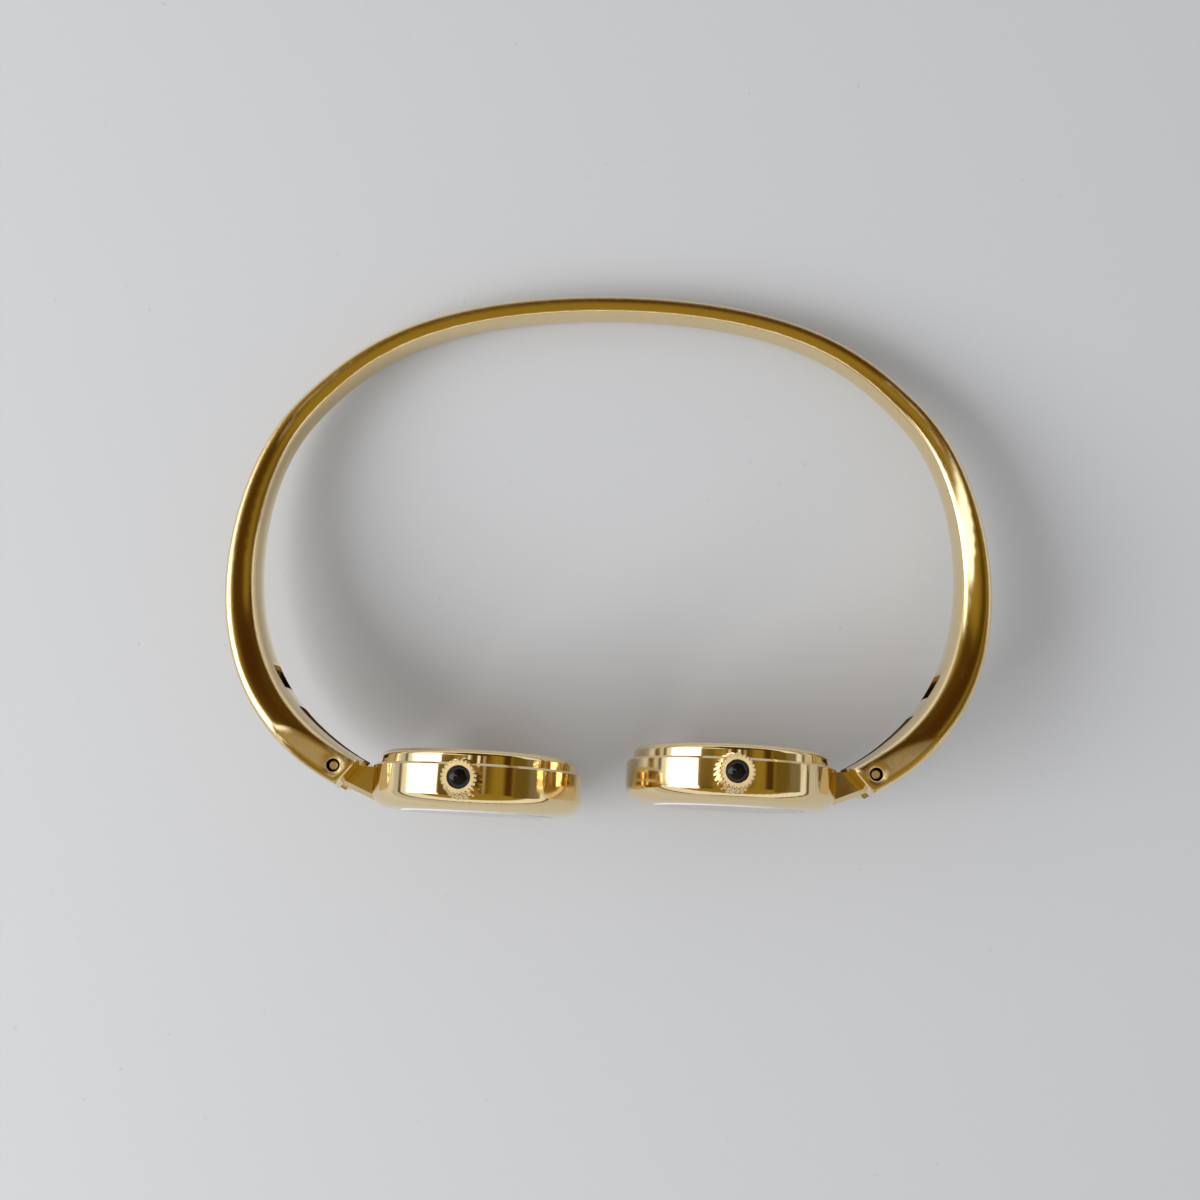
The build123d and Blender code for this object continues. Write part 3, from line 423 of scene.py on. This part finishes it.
def room_world():
    """A room for reflections, an even fill for matt surfaces and a plain backdrop."""
    world = bpy.data.worlds.new("room")
    bpy.context.scene.world = world
    world.use_nodes = True
    room = Nodes(world.node_tree)
    room.tree.nodes.clear()

    def within(value, middle, half, soft):
        """One inside a span and none outside it, with a soft edge."""
        apart = room.math("ABSOLUTE", room.minus(value, middle))
        return room.spread(apart, (half, half + soft), (1.0, 0.0),
                           interpolation_type="SMOOTHSTEP")

    def background(colour):
        return room.node("ShaderNodeBackground", {"Color": colour}).outputs[0]

    x, y, z = room.parts(room.node("ShaderNodeTexCoord").outputs["Generated"])
    above = room.math("MAXIMUM", z, LOWEST_Z)
    across, along = room.math("DIVIDE", x, above), room.math("DIVIDE", y, above)
    ramp = room.node("ShaderNodeValToRGB", {"Fac": z})
    stops = ramp.color_ramp.elements
    for stop, (place, colour) in zip(stops, (ROOM_STOPS[0], ROOM_STOPS[-1])):
        stop.position, stop.color = place, rgba(colour)
    for place, colour in ROOM_STOPS[1:-1]:
        stops.new(place).color = rgba(colour)
    seen = ramp.outputs["Color"]
    for colour, middle, half, soft, strength, lean in CEILING_PATCHES:
        shifted = across
        if lean:
            shifted = room.minus(across, room.times(room.minus(along, middle[1]), lean))
        mask = room.times(within(shifted, middle[0], half[0], soft),
                          within(along, middle[1], half[1], soft))
        seen = room.blend(room.times(mask, strength), seen, rgba(colour))

    ray = room.node("ShaderNodeLightPath").outputs
    straight = room.math("MAXIMUM", ray["Is Camera Ray"], ray["Is Transmission Ray"])
    shown = background(seen)
    for amount, colour in ((ray["Is Diffuse Ray"], FILL_COLOUR), (straight, BACKDROP_COLOUR)):
        shown = room.node("ShaderNodeMixShader", {"Fac": amount, 1: shown,
                                                  2: background(rgba(colour))}).outputs[0]
    room.node("ShaderNodeOutputWorld", {"Surface": shown})


def make_camera(settings):
    """Camera over the bangle, as the photograph was taken."""
    turn = (Matrix.Rotation(settings.camera_roll, 3, "Z")
            @ Matrix.Rotation(settings.camera_yaw, 3, "Y")
            @ Matrix.Rotation(-settings.camera_tilt, 3, "X"))
    distance, focal = settings.camera_distance, settings.focal_share
    right, up = (share / focal * distance for share in AIM_IN_PICTURE)
    aim = Vector((0, hinge_line() + AIM_BEHIND_HINGES, 0))
    place = turn.transposed() @ (Vector((0, 0, distance)) - Vector((right, up, 0))) + aim
    camera = bpy.data.cameras.new("camera")
    camera.sensor_fit = "HORIZONTAL"
    camera.lens = focal * camera.sensor_width
    camera.clip_start = 0.005
    view = add_object("camera", camera)
    view.matrix_world = Matrix.Translation(place) @ turn.transposed().to_4x4()
    bpy.context.scene.camera = view


# Settings


class BangleGoldSettings(bpy.types.PropertyGroup):
    colour: FloatVectorProperty(
        name="Gold", description="Colour of the polished gold", subtype="COLOR", size=3,
        min=0.0, max=1.0, default=(0.90, 0.72, 0.41))
    roughness: FloatProperty(
        name="Gold Roughness", description="Roughness of the cleanest polish",
        subtype="FACTOR", min=0.0, max=1.0, default=0.05)


class BangleStoneSettings(bpy.types.PropertyGroup):
    colour: FloatVectorProperty(
        name="Stone", description="Colour of the crown stones", subtype="COLOR", size=3,
        min=0.0, max=1.0, default=(0.002, 0.002, 0.003))


class BangleGlassSettings(bpy.types.PropertyGroup):
    roughness: FloatProperty(
        name="Glass Roughness", description="Roughness of clean glass", subtype="FACTOR",
        min=0.0, max=1.0, default=0.01)


class BangleDialSettings(bpy.types.PropertyGroup):
    colour: FloatVectorProperty(
        name="Dial", description="Colour of the dials", subtype="COLOR", size=3,
        min=0.0, max=1.0, default=(0.86, 0.82, 0.7))


class BangleStageSettings(bpy.types.PropertyGroup):
    floor_colour: FloatVectorProperty(
        name="Floor", description="Colour of the table", subtype="COLOR", size=3,
        min=0.0, max=1.0, default=(0.62, 0.625, 0.64))
    floor_radius: FloatProperty(
        name="Floor Radius", description="Radius of the round table top",
        subtype="DISTANCE", unit="LENGTH", min=0.05, default=0.12)
    floor_tilt: FloatProperty(
        name="Floor Tilt", description="Slope of the table under the resting bangle",
        subtype="ANGLE", unit="ROTATION", default=radians(9.95))
    camera_distance: FloatProperty(
        name="Camera Distance", description="From the camera to the bangle",
        subtype="DISTANCE", unit="LENGTH", min=0.05, default=0.125)
    camera_tilt: FloatProperty(
        name="Camera Tilt", description="Tilt of the view from the bangle's axis",
        subtype="ANGLE", unit="ROTATION", default=radians(10.3))
    camera_roll: FloatProperty(
        name="Camera Roll", description="Turn of the picture",
        subtype="ANGLE", unit="ROTATION", default=radians(-0.9))
    camera_yaw: FloatProperty(
        name="Camera Yaw", description="Sideways tilt of the view",
        subtype="ANGLE", unit="ROTATION", default=radians(-0.7))
    focal_share: FloatProperty(
        name="Focal Length", description="Focal length as a share of the picture's width",
        min=0.5, max=4.0, default=1430 / 1200)


# Operators


class BANGLE_OT_gold(bpy.types.Operator):
    """Polish the band, its pins, the cases, their backs and the crowns"""

    bl_idname = "bangle.gold"
    bl_label = "Polish Gold"

    def execute(self, context):
        settings = context.scene.bangle_gold
        pin_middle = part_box("hinge_pins")[1].x - PIN_RADIUS
        recess = ((pin_middle, hinge_line()), RECESS_RADIUS)
        dress(["band"], polished_gold(settings, "band_gold", recess))
        dress(["hinge_pins"] + both("case", "case_back", "crown"), polished_gold(settings))
        return {"FINISHED"}


class BANGLE_OT_stones(bpy.types.Operator):
    """Set the black stones in the crowns"""

    bl_idname = "bangle.stones"
    bl_label = "Set Stones"

    def execute(self, context):
        dress(both("crown_cabochon"), black_stone(context.scene.bangle_stone))
        return {"FINISHED"}


class BANGLE_OT_crystals(bpy.types.Operator):
    """Fit the crystals and every seal"""

    bl_idname = "bangle.crystals"
    bl_label = "Fit Crystals"

    def execute(self, context):
        for crystal in both("crystal"):
            dress([crystal], crystal_glass(context.scene.bangle_glass, f"{crystal}_glass",
                                           *round_face(crystal)))
        dress(both("crystal_gasket"), matte("seal_nylon", (0.80, 0.77, 0.68), 0.4))
        dress(both("back_gasket", "crown_gasket"), seal_rubber())
        return {"FINISHED"}


class BANGLE_OT_dials(bpy.types.Operator):
    """Finish the dials and hands"""

    bl_idname = "bangle.dials"
    bl_label = "Finish Dials"

    def execute(self, context):
        for dial in both("dial"):
            dress([dial], dial_enamel(context.scene.bangle_dial, f"{dial}_enamel",
                                      *round_face(dial)))
        dress(both("hour_hand", "minute_hand"),
              metal("hand_gold", (0.8, 0.56, 0.22), 0.12, stretch=(900, 900, 900), depth=0.03))
        return {"FINISHED"}


class BANGLE_OT_movement(bpy.types.Operator):
    """Finish the movement, the stems and the springs"""

    bl_idname = "bangle.movement"
    bl_label = "Finish Movement"

    def execute(self, context):
        dress(both("mainplate", "train_bridge", "centre_wheel", "minute_wheel", "hour_wheel",
                   "train_wheel"), metal("movement_brass", (0.72, 0.53, 0.24), 0.22))
        dress(both("cannon_pinion", "rotor", "stator", "battery_strap", "sliding_pinion",
                   "crown_stem", "crown_tube"), metal("cut_steel", (0.56, 0.57, 0.6), 0.2))
        dress(both("leaf_spring"),
              metal("spring_steel", (0.5, 0.48, 0.45), 0.26, stretch=(4000, 600, 600)))
        dress(both("battery"), metal("cell_nickel", (0.66, 0.65, 0.62), 0.25))
        dress(both("coil"), copper_winding())
        dress(both("movement_holder"), matte("holder_plastic", (0.8, 0.8, 0.77), 0.45))
        dress(both("circuit_board"), matte("board_lacquer", (0.02, 0.16, 0.06), 0.35))
        return {"FINISHED"}


class BANGLE_OT_stage(bpy.types.Operator):
    """Lay the table, light the room and place the camera"""

    bl_idname = "bangle.stage"
    bl_label = "Set the Stage"

    def execute(self, context):
        settings = context.scene.bangle_stage
        make_table(settings)
        room_world()
        window_lamp()
        make_camera(settings)
        context.scene.view_settings.view_transform = "Standard"
        return {"FINISHED"}


OPERATORS = (BANGLE_OT_gold, BANGLE_OT_stones, BANGLE_OT_crystals, BANGLE_OT_dials,
             BANGLE_OT_movement, BANGLE_OT_stage)
GROUPS = {
    "bangle_gold": BangleGoldSettings,
    "bangle_stone": BangleStoneSettings,
    "bangle_glass": BangleGlassSettings,
    "bangle_dial": BangleDialSettings,
    "bangle_stage": BangleStageSettings,
}


class BANGLE_PT_panel(bpy.types.Panel):
    """Steps of the bangle watch"""

    bl_label = "Bangle Watch"
    bl_idname = "BANGLE_PT_panel"
    bl_space_type = "VIEW_3D"
    bl_region_type = "UI"
    bl_category = "Bangle Watch"

    def draw(self, context):
        for operator in OPERATORS:
            self.layout.operator(operator.bl_idname)
        for group in GROUPS:
            settings = getattr(context.scene, group)
            for name in settings.__annotations__:
                self.layout.prop(settings, name)


def register():
    for group in GROUPS.values():
        bpy.utils.register_class(group)
    for operator in OPERATORS:
        bpy.utils.register_class(operator)
    bpy.utils.register_class(BANGLE_PT_panel)
    for name, group in GROUPS.items():
        setattr(bpy.types.Scene, name, PointerProperty(type=group))


def unregister():
    for name in GROUPS:
        delattr(bpy.types.Scene, name)
    bpy.utils.unregister_class(BANGLE_PT_panel)
    for operator in reversed(OPERATORS):
        bpy.utils.unregister_class(operator)
    for group in reversed(list(GROUPS.values())):
        bpy.utils.unregister_class(group)


def main():
    register()
    for operator in OPERATORS:
        family, name = operator.bl_idname.split(".")
        getattr(getattr(bpy.ops, family), name)()


if __name__ == "__main__":
    main()
